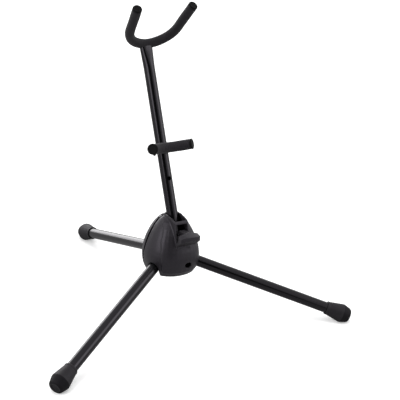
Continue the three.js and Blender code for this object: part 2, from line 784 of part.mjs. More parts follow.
// The thumb tab: a wedge with an arched top and a bowed front, which comes back under to the tower.
const wedge = plate(
  [
    [tabFront - 1, up(hubCrown)],
    [tabFront - 1, up(tabFrontHeight - tabRimHeight)],
    [tabFront, up(tabFrontHeight - tabRimHeight)],
    [tabFootFront, up(tabFootHeight)],
    [tabFootFront + 2, up(tabFootHeight) + 2],
    [tabBack + 1, up(tabFootHeight + tabFootRise)],
    [tabBack, up(hubCrown)],
  ],
  -tabWidth / 2,
  tabWidth / 2,
);
const archAt = (y) => [0, y, tabTop(y) - tabArchRadius];
const arch = bar(2 * tabArchRadius, archAt(tabFront - far), archAt(tabBack + far), 96);
const noseY = tabFront + tabNoseRadius;
const nose = bar(2 * tabNoseRadius, [0, noseY, 0], [0, noseY, up(hubCrown)], 72);
const tab = cut(
  wedge.intersect(arch).intersect(nose),
  dome(apronProud + leverGap, -hubSkirt, hubCrown, domeLevels, domeSides),
  tower(leverGap),
);
const lever = cut(
  join(bar(leverBarrelDiameter, leverAt(-leverBarrelHalf), leverAt(leverBarrelHalf)), stem, tooth, tab),
  bar(leverPinDiameter + 2 * clearance, leverAt(-far), leverAt(far)),
);
add(stand, "lock_lever", lever, "plastic");
const leverPinHalf = wellHalf + towerWall - clearance;
add(stand, "lever_pin", bar(leverPinDiameter, leverAt(-leverPinHalf), leverAt(leverPinHalf)), "steel");

// Torsion spring around the pin, beside the barrel.
const springFrom = leverBarrelHalf + clearance + springWireDiameter / 2;
const springPitch = springWireDiameter + 0.1;
const springRadius = leverPinDiameter / 2 + clearance + springWireDiameter / 2;
const coilPoints = [];
const pointsPerTurn = 10;
for (let i = 0; i <= springTurns * pointsPerTurn; i++) {
  const angle = (i / pointsPerTurn) * 2 * Math.PI;
  const x = springFrom + (springPitch * i) / pointsPerTurn;
  const y = leverPivot.y + springRadius * Math.cos(angle);
  coilPoints.push(new THREE.Vector3(x, y, up(leverPivot.z) + springRadius * Math.sin(angle)));
}
const coil = new THREE.CatmullRomCurve3(coilPoints);
const coilSteps = springTurns * pointsPerTurn;
add(stand, "lever_spring", swept(coil, springWireDiameter, coilSteps, 5), "steel");

// ---------------------------------------------------------------- origin at the bottom centre of the box

stand.updateMatrixWorld(true);
const size = new THREE.Box3().setFromObject(stand, true);
const middle = size.getCenter(new THREE.Vector3());
stand.position.set(-middle.x, -middle.y, -size.min.z);

export default stand;
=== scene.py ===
import bmesh
import bpy
import numpy as np
from mathutils import Matrix
from types import SimpleNamespace


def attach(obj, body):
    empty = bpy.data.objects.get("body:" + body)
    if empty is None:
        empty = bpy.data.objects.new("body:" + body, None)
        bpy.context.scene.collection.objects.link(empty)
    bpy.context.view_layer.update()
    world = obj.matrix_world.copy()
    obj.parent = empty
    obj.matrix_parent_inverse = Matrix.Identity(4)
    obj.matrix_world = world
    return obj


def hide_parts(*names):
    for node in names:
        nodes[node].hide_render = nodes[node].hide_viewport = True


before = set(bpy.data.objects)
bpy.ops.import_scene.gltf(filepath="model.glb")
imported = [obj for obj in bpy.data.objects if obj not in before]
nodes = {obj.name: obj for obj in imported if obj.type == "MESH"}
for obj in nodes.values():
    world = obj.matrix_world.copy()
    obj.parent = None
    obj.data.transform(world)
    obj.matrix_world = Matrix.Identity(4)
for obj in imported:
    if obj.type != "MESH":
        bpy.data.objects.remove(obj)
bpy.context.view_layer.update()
mm = 0.001

# ------------------------------------------------------------------ leg tubes
# Three straight lengths of 16 mm steel tube, 1.2 mm in the wall, sprayed gloss black.
# Each swings on a pin in the hub and slopes down to its foot; its ends are cut square and deburred.

sharp_angle = np.radians(38)  # a crease past this shows as an edge


def grid_piece(name, grid, wrap_rows):
    """A closed mesh over a grid of points, rows by columns.

    The columns run once round and meet again. The rows either meet again too, as in a pipe with an inner
    wall, or shrink to a point at both ends. Points that fall together are merged, so poles are closed."""
    rows, columns = grid.shape[:2]
    index = np.arange(rows * columns).reshape(rows, columns)
    below = index if wrap_rows else index[:-1]
    above = np.roll(index, -1, 0) if wrap_rows else index[1:]
    quads = np.stack([below, np.roll(below, -1, 1), np.roll(above, -1, 1), above], -1).reshape(-1, 4)
    mesh = bpy.data.meshes.new(name)
    mesh.from_pydata(grid.reshape(-1, 3), [], quads.tolist())
    work = bmesh.new()
    work.from_mesh(mesh)
    bmesh.ops.remove_doubles(work, verts=work.verts, dist=1e-7)
    bmesh.ops.recalc_face_normals(work, faces=work.faces)
    work.to_mesh(mesh)
    work.free()
    mesh.shade_smooth()
    mesh.set_sharp_from_angle(angle=sharp_angle)
    piece = bpy.data.objects.new(name, mesh)
    bpy.context.scene.collection.objects.link(piece)
    return piece


def rounded(corners, radius, steps=5):
    """The outline through the corners with each inner corner turned into a small bow.

    A bow is the curve (1-t)^2 before + 2t(1-t) corner + t^2 after, where before and after lie on the two
    edges at the given radius from the corner, or at 0.45 of the edge if that is shorter."""
    corners = np.asarray(corners, float)
    t = np.linspace(0, 1, steps)[:, None]
    into, out = corners[:-2] - corners[1:-1], corners[2:] - corners[1:-1]
    reach_in = np.minimum(radius / np.maximum(np.linalg.norm(into, axis=1), 1e-9), 0.45)[:, None]
    reach_out = np.minimum(radius / np.maximum(np.linalg.norm(out, axis=1), 1e-9), 0.45)[:, None]
    before, after = corners[1:-1] + into * reach_in, corners[1:-1] + out * reach_out
    bows = (
        (1 - t) ** 2 * before[:, None] + 2 * t * (1 - t) * corners[1:-1, None] + t**2 * after[:, None]
    )
    return np.vstack([corners[:1], bows.reshape(-1, 2), corners[-1:]])


def turned(name, start, along, profile, sides, wrap_rows=False):
    """A profile of radius and distance, turned about the line from start in the direction along.

    A point is start + distance * along + radius * (cos(angle) * side + sin(angle) * lift)."""
    along = np.asarray(along, float) / np.linalg.norm(along)
    side = np.cross(along, [0, 0, 1])
    side /= np.linalg.norm(side)
    lift = np.cross(side, along)
    angle = np.linspace(0, 2 * np.pi, sides, endpoint=False)
    round_about = np.cos(angle)[:, None] * side + np.sin(angle)[:, None] * lift
    radius, distance = np.asarray(profile, float).T
    grid = start + distance[:, None, None] * along + radius[:, None, None] * round_about
    return grid_piece(name, grid, wrap_rows)


def finish_nodes(name):
    """A new material, its shader, its Object coordinates, and ways to add nodes to it.

    feed sets or joins a node's sockets by name, with an underscore for each space, and node adds a node
    and feeds it. spread turns 0 to 1 into the range given, toned turns it into a run between two colours,
    and mixed goes from one colour to another as the share rises from 0 to 1."""
    material = bpy.data.materials.new(name)
    material.use_nodes = True
    tree = material.node_tree
    place = tree.nodes.new("ShaderNodeTexCoord").outputs["Object"]

    def feed(target, **inputs):
        for socket_name, value in inputs.items():
            socket = target.inputs[socket_name.replace("_", " ")]
            if isinstance(value, bpy.types.NodeSocket):
                tree.links.new(value, socket)
            else:
                socket.default_value = value

    def node(kind, **inputs):
        made = tree.nodes.new(kind)
        feed(made, **inputs)
        return made

    def spread(value, low, high, **limits):
        return node("ShaderNodeMapRange", Value=value, To_Min=low, To_Max=high, **limits).outputs["Result"]

    def toned(value, low, high, start=0.0, end=1.0):
        ramp = node("ShaderNodeValToRGB", Fac=value)
        for stop, position, colour in zip(ramp.color_ramp.elements, (start, end), (low, high)):
            stop.position = position
            stop.color = (*colour, 1)
        return ramp.outputs["Color"]

    def mixed(share, first, second):
        mix = node("ShaderNodeMix")
        mix.data_type = "RGBA"
        share_socket, first_socket, second_socket = mix.inputs[0], mix.inputs[6], mix.inputs[7]
        tree.links.new(share, share_socket)
        tree.links.new(first, first_socket)
        second_socket.default_value = (*second, 1)
        return mix.outputs[2]

    return material, tree.nodes["Principled BSDF"], place, SimpleNamespace(
        feed=feed, node=node, spread=spread, toned=toned, mixed=mixed
    )


# gloss black enamel: a faint orange peel, with a few dull patches from handling
enamel, shader, place, add = finish_nodes("black_enamel")
patches = add.node("ShaderNodeTexNoise", Vector=place, Scale=38.0, Detail=6.0, Roughness=0.6).outputs["Fac"]
peel = add.node("ShaderNodeTexNoise", Vector=place, Scale=650.0, Detail=2.0).outputs["Fac"]
peel_bump = add.node("ShaderNodeBump", Height=peel, Strength=0.05, Distance=0.0002)
add.feed(
    shader,
    Base_Color=add.toned(patches, (0.0018, 0.0018, 0.0020), (0.0040, 0.0040, 0.0045)),
    Roughness=add.spread(patches, 0.13, 0.22, From_Min=0.35, From_Max=0.75),
    Normal=peel_bump.outputs["Normal"],
    Specular_IOR_Level=0.3,
    Specular_Tint=(0.95, 0.89, 1.0, 1),
)

leg_centre = np.array([0, -65.39, 98.054]) * mm
leg_azimuths = {"rear": 90, "front_left": 210, "front_right": 330}
leg_slope = np.radians(18.2)
leg_diameter, leg_wall = 16 * mm, 1.2 * mm
leg_inner, leg_outer = 20.42 * mm, 283.4 * mm
leg_directions = {
    place_name: np.array(
        [
            np.cos(np.radians(turn)) * np.cos(leg_slope),
            np.sin(np.radians(turn)) * np.cos(leg_slope),
            -np.sin(leg_slope),
        ]
    )
    for place_name, turn in leg_azimuths.items()
}
outer, inner = leg_diameter / 2, leg_diameter / 2 - leg_wall
leg_stations = np.linspace(leg_inner, leg_outer, 30)
tube_profile = rounded(
    [[inner, leg_inner + 2 * mm], [inner, leg_inner]]
    + [[outer, s] for s in leg_stations]
    + [[inner, leg_outer], [inner, leg_outer - 2 * mm]],
    0.3 * mm,
)
for place_name, direction in leg_directions.items():
    tube = turned(f"leg_tube_{place_name}_enamelled", leg_centre, direction, tube_profile, 72, wrap_rows=True)
    tube.data.materials.append(enamel)
    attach(tube, f"leg_{place_name}")
    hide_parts(f"leg_tube_{place_name}")

# ------------------------------------------------------------------ foot caps
# Three moulded rubber caps pushed over the leg ends. Each has a short collar, widens to a shoulder and
# narrows again to a flat face with a shallow dimple. Past the shoulder, round the face, shade is painted
# into the rubber's colour and its reflection is turned down.
foot_rubber, shader, place, add = finish_nodes("foot_rubber")
dust = add.node("ShaderNodeTexNoise", Vector=place, Scale=90.0, Detail=8.0, Roughness=0.65).outputs["Fac"]
rubber_grain = add.node("ShaderNodeTexNoise", Vector=place, Scale=1400.0, Detail=3.0).outputs["Fac"]
rubber_bump = add.node("ShaderNodeBump", Height=rubber_grain, Strength=0.25, Distance=0.0002)
# painted shade: past the shoulder, outside the flat face, the colour goes darker and the reflection weaker
painted_end_shade = add.node("ShaderNodeAttribute")
painted_end_shade.attribute_name = "painted_end_shade"
dusty = add.toned(dust, (0.0045, 0.0042, 0.0048), (0.0110, 0.0105, 0.0108), start=0.35, end=0.8)
add.feed(
    shader,
    Base_Color=add.mixed(painted_end_shade.outputs["Fac"], dusty, (0.0026, 0.0024, 0.0029)),
    Roughness=add.spread(dust, 0.5, 0.72),
    Normal=rubber_bump.outputs["Normal"],
    Specular_IOR_Level=add.spread(painted_end_shade.outputs["Fac"], 0.34, 0.18),
    Specular_Tint=(0.94, 0.88, 1.0, 1),
)

cap_end, cap_length = 287.2 * mm, 37.2 * mm
mouth = cap_end - cap_length
shoulder_from_end, shoulder_fade = 12.6 * mm, 0.6 * mm
face_radius = 8.0 * mm
cap_outline = [
    [0, cap_end - 3.5 * mm],
    [8.3 * mm, cap_end - 3.5 * mm],
    [8.3 * mm, mouth],
    [9.3 * mm, mouth],
    [9.9 * mm, mouth + 0.8 * mm],
    [9.9 * mm, mouth + 3.4 * mm],
    [9.7 * mm, mouth + 4.0 * mm],
    [10.1 * mm, mouth + 5.0 * mm],
    [13.65 * mm, cap_end - 12.8 * mm],
    [13.6 * mm, cap_end - 11.4 * mm],
    [10.6 * mm, cap_end - 1.9 * mm],
    [9.5 * mm, cap_end - 0.5 * mm],
    [8.7 * mm, cap_end],
    [6.6 * mm, cap_end],
    [5.6 * mm, cap_end - 1.2 * mm],
    [0, cap_end - 1.2 * mm],
]
cap_profile = rounded(cap_outline, 0.7 * mm, 7)


def vertex_places(piece):
    """Where the piece's vertices are, one row each."""
    places = np.empty(len(piece.data.vertices) * 3, np.float32)
    piece.data.vertices.foreach_get("co", places)
    return places.reshape(-1, 3).astype(float)


def move_vertices(piece, places):
    """Puts the piece's vertices at these places, one row each."""
    piece.data.vertices.foreach_set("co", places.astype(np.float32).ravel())
    piece.data.update()


def mark_vertices(piece, name, values):
    """Gives each vertex a value from 0 to 1 that the material reads under this name."""
    mark = piece.data.attributes.new(name, "FLOAT", "POINT")
    mark.data.foreach_set("value", np.clip(values, 0, 1).astype(np.float32))


for place_name, direction in leg_directions.items():
    cap = turned(f"foot_cap_{place_name}_rubber", leg_centre, direction, cap_profile, 72)
    places = vertex_places(cap)
    from_centre = places - leg_centre
    along = from_centre @ direction
    off_axis = np.linalg.norm(from_centre - along[:, None] * direction, axis=1)
    shade_past_shoulder = np.clip((along - cap_end + shoulder_from_end) / shoulder_fade, 0, 1)
    # marks where the painted shade goes: past the shoulder, outside the flat face
    mark_vertices(cap, "painted_end_shade", shade_past_shoulder * (off_axis > face_radius))
    places[:, 2] = np.maximum(places[:, 2], 0)  # the lowest line is worn flat by the floor
    move_vertices(cap, places)
    cap.data.materials.append(foot_rubber)
    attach(cap, f"leg_{place_name}")
    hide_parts(f"foot_cap_{place_name}")

# ------------------------------------------------------------------ hub
# Two injection-moulded shells in satin dark grey plastic, screwed together from behind: an egg-shaped
# dome with a raised tower round the well, slots for the legs and pin holes. Its edges are softly rounded.
hub_plastic, shader, place, add = finish_nodes("hub_plastic")
cloud = add.node("ShaderNodeTexNoise", Vector=place, Scale=24.0, Detail=5.0, Roughness=0.55).outputs["Fac"]
grain = add.node("ShaderNodeTexNoise", Vector=place, Scale=1600.0, Detail=3.0, Roughness=0.6).outputs["Fac"]
grain_bump = add.node("ShaderNodeBump", Height=grain, Strength=0.18, Distance=0.0002)
# convex edges are painted lighter: partly wear, partly a painted highlight along the rounded edges
edges = add.node("ShaderNodeNewGeometry").outputs["Pointiness"]
edge_wear_and_highlight = add.spread(edges, 0.0, 1.0, From_Min=0.53, From_Max=0.60)
# painted shade: grooves, well, slots and holes below the dome are painted near black and hardly reflect
painted_recess_shade = add.node("ShaderNodeAttribute")
painted_recess_shade.attribute_name = "painted_recess_shade"
clouded = add.toned(cloud, (0.0115, 0.0104, 0.0126), (0.0165, 0.0152, 0.0178), start=0.3, end=0.75)
worn_and_highlit = add.mixed(edge_wear_and_highlight, clouded, (0.019, 0.018, 0.020))
add.feed(
    shader,
    Base_Color=add.mixed(painted_recess_shade.outputs["Fac"], worn_and_highlit, (0.0012, 0.0010, 0.0014)),
    Roughness=add.spread(cloud, 0.36, 0.46),
    Normal=grain_bump.outputs["Normal"],
    Specular_IOR_Level=add.spread(painted_recess_shade.outputs["Fac"], 0.34, 0.03),
    Specular_Tint=(0.94, 0.88, 1.0, 1),
)

# height above the point where the leg axes meet, half width, front, back
hub_sections = (
    np.array(
        [
            [-23, 34.6, -38, 28.6],
            [-17, 37.6, -42, 31],
            [-6, 39.8, -44.4, 33],
            [3, 40.2, -45, 33.4],
            [13, 38.6, -43.2, 32.4],
            [24, 35, -38.8, 30.2],
            [36, 29.4, -33, 26],
            [46, 23, -26, 20.6],
            [52, 17.6, -19.8, 15.8],
            [56.5, 11.5, -13.6, 10.8],
            [59, 6, -7.6, 5.6],
        ]
    )
    * mm
)
apron_proud = 1.3 * mm
hub_squareness = 2.15


def smooth_column(column, height):
    """One measure of the hub at each height: a cubic through the listed heights whose slope at each of
    them is the mean slope of its two neighbours."""
    at, value = hub_sections[:, 0], hub_sections[:, column]
    slope = np.gradient(value, at)
    i = np.clip(np.searchsorted(at, height) - 1, 0, len(at) - 2)
    step = at[i + 1] - at[i]
    t = np.clip((height - at[i]) / step, 0, 1)
    return (
        (2 * t**3 - 3 * t**2 + 1) * value[i]
        + (t**3 - 2 * t**2 + t) * step * slope[i]
        + (-2 * t**3 + 3 * t**2) * value[i + 1]
        + (t**3 - t**2) * step * slope[i + 1]
    )


def dome_distance(points):
    """How far each point lies outside the dome, and the direction in which that grows.

    On each level the dome is (|x|/a)^n + (|y-c|/b)^n = 1, with n the squareness. The distance is the
    n-th root of the left side, less 1, divided by the length of its gradient."""

    def level_value(p):
        height = p[:, 2] - leg_centre[2]
        half_width = smooth_column(1, height)
        front, back = smooth_column(2, height), smooth_column(3, height)
        x = np.abs(p[:, 0]) / half_width
        y = np.abs(p[:, 1] - leg_centre[1] - (front + back) / 2) / ((back - front) / 2)
        return (x**hub_squareness + y**hub_squareness) ** (1 / hub_squareness) - 1

    small = 0.05 * mm
    value = level_value(points)
    gradient = np.stack([level_value(points + small * e) - value for e in np.eye(3)], 1) / small
    size = np.maximum(np.linalg.norm(gradient, axis=1), 1e-6)
    return value / size, gradient / size[:, None]


def clean_copy(node, name):
    """A new object with the CAD node's shape, its loose triangles joined at their corners."""
    work = bmesh.new()
    work.from_mesh(nodes[node].data)
    bmesh.ops.remove_doubles(work, verts=work.verts, dist=1e-6)
    mesh = bpy.data.meshes.new(name)
    work.to_mesh(mesh)
    work.free()
    piece = bpy.data.objects.new(name, mesh)
    bpy.context.scene.collection.objects.link(piece)
    return piece


def apply_modifiers(piece):
    """Makes the piece's modifiers part of its mesh."""
    bpy.context.view_layer.update()
    graph = bpy.context.evaluated_depsgraph_get()
    mesh = bpy.data.meshes.new_from_object(piece.evaluated_get(graph))
    piece.modifiers.clear()
    piece.data = mesh


snap_whole, snap_none = 0.21 * mm, 0.56 * mm  # so near, all the way; so far off, not at all


def softened(piece, voxel, rounds, on_dome=False):
    """The piece with an even fine skin and its edges rounded off.

    In each round its vertices go 0.6 of the way to the mean of their neighbours, then 0.4 of the way back
    from the new mean, so that it hardly shrinks. On the hub, what lies within about half a millimetre of
    the dome, or of the apron that stands proud of it, is first put on that smooth form."""
    remesh = piece.modifiers.new("skin", "REMESH")
    remesh.mode = "VOXEL"
    remesh.voxel_size = voxel
    apply_modifiers(piece)
    places = vertex_places(piece)
    count = len(places)
    pairs = np.empty(len(piece.data.edges) * 2, np.int32)
    piece.data.edges.foreach_get("vertices", pairs)
    a, b = pairs.reshape(-1, 2).T
    degree = np.bincount(a, minlength=count) + np.bincount(b, minlength=count)

    def neighbour_sum(values):
        from_a = np.bincount(b, weights=values[a], minlength=count)
        return np.bincount(a, weights=values[b], minlength=count) + from_a

    def mean_of_neighbours(p):
        return np.stack([neighbour_sum(p[:, k]) for k in range(3)], 1) / degree[:, None]

    if on_dome:
        for offset in (0.0, apron_proud):
            distance, outward = dome_distance(places)
            gap = np.abs(distance - offset)[:, None]
            near = np.clip((snap_none - gap) / (snap_none - snap_whole), 0, 1)
            places = places + near * (offset - distance)[:, None] * outward
    for _ in range(rounds):
        places += 0.6 * (mean_of_neighbours(places) - places)
        places -= 0.4 * (mean_of_neighbours(places) - places)
    move_vertices(piece, places)
    piece.data.shade_smooth()
    return piece


joint_y = -62.39 * mm
roll_bottom, roll_height = -10 * mm, 60 * mm
roll_width, roll_depth = 2.8 * mm, 1.7 * mm
shell_skin = 0.8 * mm
# painted shade in the recesses begins this far below the dome and is full at this depth
recess_shade_starts, recess_shade_full = 0.3 * mm, 1.4 * mm


def edge_rolled_in(places):
    """The front shell's vertices with its outer edge at the joint rolled into the dome.

    A vertex moves in by the roll's depth times the square root of its share, which is 1 at the joint and
    falls to 0 over the roll's width. That width is half a sine wave from the roll's bottom to its top."""
    distance, outward = dome_distance(places)
    up_the_roll = np.clip((places[:, 2] - leg_centre[2] - roll_bottom) / roll_height, 0, 1)
    width_here = roll_width * np.sin(np.pi * up_the_roll) + 0.01 * mm
    share = np.clip(1 - (joint_y - places[:, 1]) / width_here, 0, 1) * (distance > -shell_skin)
    return places - (roll_depth * np.sqrt(share))[:, None] * outward


for shell, voxel, rounds in (("hub_front_shell", 0.8 * mm, 4), ("hub_rear_shell", 0.55 * mm, 3)):
    moulded = softened(clean_copy(shell, f"{shell}_moulded"), voxel, rounds, on_dome=True)
    places = vertex_places(moulded)
    if shell == "hub_front_shell":
        places = edge_rolled_in(places)
        move_vertices(moulded, places)
    # how deep each vertex lies below the dome sets the painted shade in the recesses
    depth = -dome_distance(places)[0]
    mark_vertices(moulded, "painted_recess_shade", (depth - recess_shade_starts) / (recess_shade_full - recess_shade_starts))
    moulded.data.materials.clear()
    moulded.data.materials.append(hub_plastic)
    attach(moulded, "hub")
    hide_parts(shell)

# ------------------------------------------------------------------ pins and screws
# Small steel parts, zinc plated: the tilt pin and the lever pin are cut wire, the lever's spring is
# coiled, the washer is stamped, and the four shell screws have slotted cheese heads. All but the washer
# sit down in the plastic, so that only their ends catch light.
zinc, shader, place, add = finish_nodes("zinc_steel")
crystals = add.node("ShaderNodeTexVoronoi", Vector=place, Scale=420.0).outputs["Distance"]
add.feed(
    shader,
    Base_Color=add.toned(crystals, (0.50, 0.51, 0.53), (0.66, 0.66, 0.67)),
    Metallic=1.0,
    Roughness=add.spread(crystals, 0.28, 0.45),
)


def refinished(name, finish):
    """Gives the CAD node of that name another finish."""
    nodes[name].data.materials.clear()
    nodes[name].data.materials.append(finish)


shell_screws = [name for name in nodes if "screw" in name.split("_")]
for name in shell_screws + ["upright_pin", "lever_pin", "lever_spring", "rest_washer"]:
    refinished(name, zinc)

# The three leg pins are the same wire, blackened in hot oil.
blackened, shader, place, add = finish_nodes("blackened_steel")
oil_marks = add.node("ShaderNodeTexNoise", Vector=place, Scale=300.0, Detail=4.0).outputs["Fac"]
add.feed(
    shader,
    Base_Color=add.toned(oil_marks, (0.0020, 0.0020, 0.0022), (0.0060, 0.0058, 0.0056)),
    Roughness=0.5,
    Specular_IOR_Level=0.2,
)
for place_name in leg_azimuths:
    refinished(f"leg_pin_{place_name}", blackened)

# ------------------------------------------------------------------ upright
# One length of the same 16 mm black tube, pinned in the hub and leaning back. Its top is pressed to a
# flat oval where the yoke rod is welded across it, and a spare hole for the lower rest is drilled below.
lean = np.radians(25.9)
pivot = np.array([0, -86.79, 118.054]) * mm
up_tube = np.array([0, np.sin(lean), np.cos(lean)])
to_back = np.array([0, np.cos(lean), -np.sin(lean)])
to_right = np.array([1.0, 0, 0])
tube_foot, tube_top = 10 * mm, 284.5 * mm
flat_width, flat_thickness, flat_length = 19 * mm, 10.6 * mm, 38 * mm
flat_sharpness = 6
rest_height, spare_height = 136.3 * mm, 92.3 * mm
bolt_diameter, bolt_clearance, drill_reach = 6 * mm, 0.3 * mm, 20 * mm
ring_sides = 96


def upright_rings(heights, inset):
    """Rings up the tube. Each is a circle of the tube's radius, or near the top an oval: a circle of half
    the thickness, pulled apart sideways so that it has flat faces, eased in over the flat's length."""
    share = np.clip((heights - (tube_top - flat_length)) / flat_length, 0, 1)
    eased = (share**2 * (3 - 2 * share))[:, None]
    width = leg_diameter + (flat_width - leg_diameter) * eased
    thickness = leg_diameter + (flat_thickness - leg_diameter) * eased
    angle = np.linspace(0, 2 * np.pi, ring_sides, endpoint=False)[None]
    pull = np.tanh(np.cos(angle) * flat_sharpness) * (width - thickness) / 2
    x = (thickness / 2 - inset) * np.cos(angle) + pull
    y = (thickness / 2 - inset) * np.sin(angle)
    return pivot + heights[:, None, None] * up_tube + x[..., None] * to_right + y[..., None] * to_back


def drill(name, start, direction, radius, length):
    """A plain round bar, turned about the line that starts there, for cutting a hole."""
    return turned(name, start, direction, [[0, 0], [radius, 0], [radius, length], [0, length]], 40)


def cut(piece, tools):
    """Cuts the tools' shapes out of the piece and removes the tools."""
    for tool in tools:
        hole = piece.modifiers.new(tool.name, "BOOLEAN")
        hole.operation = "DIFFERENCE"
        hole.solver = "EXACT"
        hole.object = tool
    apply_modifiers(piece)
    for tool in tools:
        bpy.data.objects.remove(tool)
    piece.data.materials.clear()


outside = upright_rings(np.r_[tube_foot, tube_foot + 0.4 * mm, np.linspace(20 * mm, tube_top, 80)], 0)
inside = upright_rings(np.linspace(tube_top, tube_foot, 60), leg_wall)
upright_tube = grid_piece("upright_tube_enamelled", np.vstack([outside, inside]), wrap_rows=True)
rest_hole_start = pivot + rest_height * up_tube - drill_reach * to_back
cut(
    upright_tube,
    [
        drill("spare_drill", pivot + spare_height * up_tube, -to_back, bolt_diameter / 2, drill_reach),
        drill("rest_drill", rest_hole_start, to_back, bolt_diameter / 2 + bolt_clearance, 2 * drill_reach),
    ],
)
upright_tube.data.set_sharp_from_angle(angle=sharp_angle)
upright_tube.data.materials.append(enamel)
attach(upright_tube, "upright")
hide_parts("upright_tube")
refinished("upright_foot", hub_plastic)

# ------------------------------------------------------------------ yoke
# A bent 8 mm steel rod, welded across the top of the upright, under a pulled-on sleeve of charcoal foam
# rubber. The sleeve is slit where it passes over the tube's flat end and puckers a little inside the bends.
foam, shader, place, add = finish_nodes("charcoal_foam")
mottle = add.node("ShaderNodeTexNoise", Vector=place, Scale=120.0, Detail=8.0, Roughness=0.7).outputs["Fac"]
pores = add.node("ShaderNodeTexVoronoi", Vector=place, Scale=1500.0).outputs["Distance"]
pore_depth = add.spread(pores, 0.0, 1.0, From_Max=0.5)
foam_bump = add.node("ShaderNodeBump", Height=pore_depth, Strength=0.35, Distance=0.0002)
add.feed(
    shader,
    Base_Color=add.toned(mottle, (0.0045, 0.0042, 0.0050), (0.0110, 0.0105, 0.0120), start=0.3, end=0.75),
    Roughness=0.78,
    Normal=foam_bump.outputs["Normal"],
    Specular_IOR_Level=0.30,
    Specular_Tint=(0.95, 0.88, 1.0, 1),
    Sheen_Weight=0.08,
    Sheen_Roughness=0.5,
)

yoke_lean = np.radians(36.4)
yoke_reach, yoke_shift = 284.9 * mm, 1.5 * mm
yoke_centre = pivot + yoke_reach * up_tube + yoke_shift * to_right
yoke_rise = np.array([0, -np.sin(yoke_lean), np.cos(yoke_lean)])
yoke_out = np.cross(to_right, yoke_rise)
yoke_bend, yoke_depth = 38 * mm, 77.5 * mm
yoke_turn = np.radians(82.8)
yoke_arm = (yoke_depth - yoke_bend * (1 - np.cos(yoke_turn))) / np.sin(yoke_turn)
yoke_half = yoke_bend * yoke_turn + yoke_arm
yoke_sleeve_radius, sleeve_bore = 6.85 * mm, 4.4 * mm
slit_bottom, slit_margin = 200 * mm, 0.3 * mm


def yoke_path(distance):
    """Centre line of the yoke and its in-plane normal at a signed distance from the middle.

    Up to the end of each bend it is a circle of the bend's radius; past it, a straight arm."""
    s = np.abs(distance)
    hand = np.sign(distance)
    angle = np.minimum(s / yoke_bend, yoke_turn)
    arm = np.maximum(s - yoke_bend * yoke_turn, 0)
    x = hand * (yoke_bend * np.sin(angle) + arm * np.cos(angle))
    v = yoke_bend * (1 - np.cos(angle)) + arm * np.sin(angle)
    centre = yoke_centre + x[:, None] * to_right + v[:, None] * yoke_rise
    inward = -hand[:, None] * np.sin(angle)[:, None] * to_right + np.cos(angle)[:, None] * yoke_rise
    return centre, inward, angle / yoke_turn * (arm <= 0)


def sleeve_rings(path, half, outer_radius, bore_radius, out, rows, pucker):
    """A foam sleeve on a path: the outside from tip to tip with rounded lips, then the bore back again.

    The outside radius is the sleeve's, less two slow waves that wind round it opposite ways and never pass
    it, and inside a bend fine cross wrinkles of the pucker's depth, which fade away from the inner side."""
    lip, wave_height, wrinkle_length = 1.2 * mm, 0.06 * mm, 3.4 * mm
    turn = np.linspace(0, np.pi / 2, 6)
    along = np.r_[-half + lip * (1 - np.cos(turn)), np.linspace(-half + 2 * lip, half - 2 * lip, rows)]
    along = np.r_[along, half - lip * (1 - np.cos(turn[::-1]))]
    drop = np.r_[lip * (1 - np.sin(turn)), np.zeros(rows), lip * (1 - np.sin(turn[::-1]))]
    centre, inward, bend = path(along)
    angle = np.linspace(0, 2 * np.pi, 64, endpoint=False)[None]
    s = along[:, None]
    inner_side = np.clip(np.cos(angle), 0, 1) ** 2
    waves = wave_height * (np.sin(s * 210 + 2 * angle) + np.sin(s * 133 - 3 * angle + 1.7))
    wrinkles = pucker * inner_side * (bend > 0)[:, None] * (np.sin(s / wrinkle_length * 2 * np.pi) - 0.4)
    radius = outer_radius - 2 * wave_height - drop[:, None] + waves + wrinkles
    skin = centre[:, None] + radius[..., None] * (
        np.cos(angle)[..., None] * inward[:, None] + np.sin(angle)[..., None] * out
    )
    centre, inward, _ = path(np.linspace(half, -half, rows // 2))
    bore = centre[:, None] + bore_radius * (
        np.cos(angle)[..., None] * inward[:, None] + np.sin(angle)[..., None] * out
    )
    return np.vstack([skin, bore])


yoke_sleeve = grid_piece(
    "yoke_sleeve_foam",
    sleeve_rings(yoke_path, yoke_half, yoke_sleeve_radius, sleeve_bore, yoke_out, 220, 0.22 * mm),
    wrap_rows=True,
)
slit_heights = np.linspace(slit_bottom, tube_top + slit_margin, 40)
slit_poles = pivot + slit_heights[[0, -1], None, None] * np.broadcast_to(up_tube, (2, ring_sides, 3))
slit_rings = [slit_poles[:1], upright_rings(slit_heights, -slit_margin), slit_poles[1:]]
cut(yoke_sleeve, [grid_piece("slit", np.vstack(slit_rings), wrap_rows=False)])
yoke_sleeve.data.materials.append(foam)
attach(yoke_sleeve, "upright")
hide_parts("yoke_sleeve")

# ------------------------------------------------------------------ tip caps
# Four push-in black rubber discs that close the sleeves: a rounded rim about as wide as the sleeve and a
# slightly dished face with a small moulded step.
tip_rubber, shader, place, add = finish_nodes("tip_rubber")
tip_noise = add.node("ShaderNodeTexNoise", Vector=place, Scale=300.0, Detail=6.0, Roughness=0.6)
tip_mottle = tip_noise.outputs["Fac"]
tip_bump = add.node("ShaderNodeBump", Height=tip_mottle, Strength=0.2, Distance=0.0002)
add.feed(
    shader,
    Base_Color=add.toned(tip_mottle, (0.0016, 0.0015, 0.0017), (0.0040, 0.0038, 0.0042)),
    Roughness=0.55,
    Normal=tip_bump.outputs["Normal"],
    Specular_IOR_Level=0.09,
)


yoke_tip_radius = 6.75 * mm


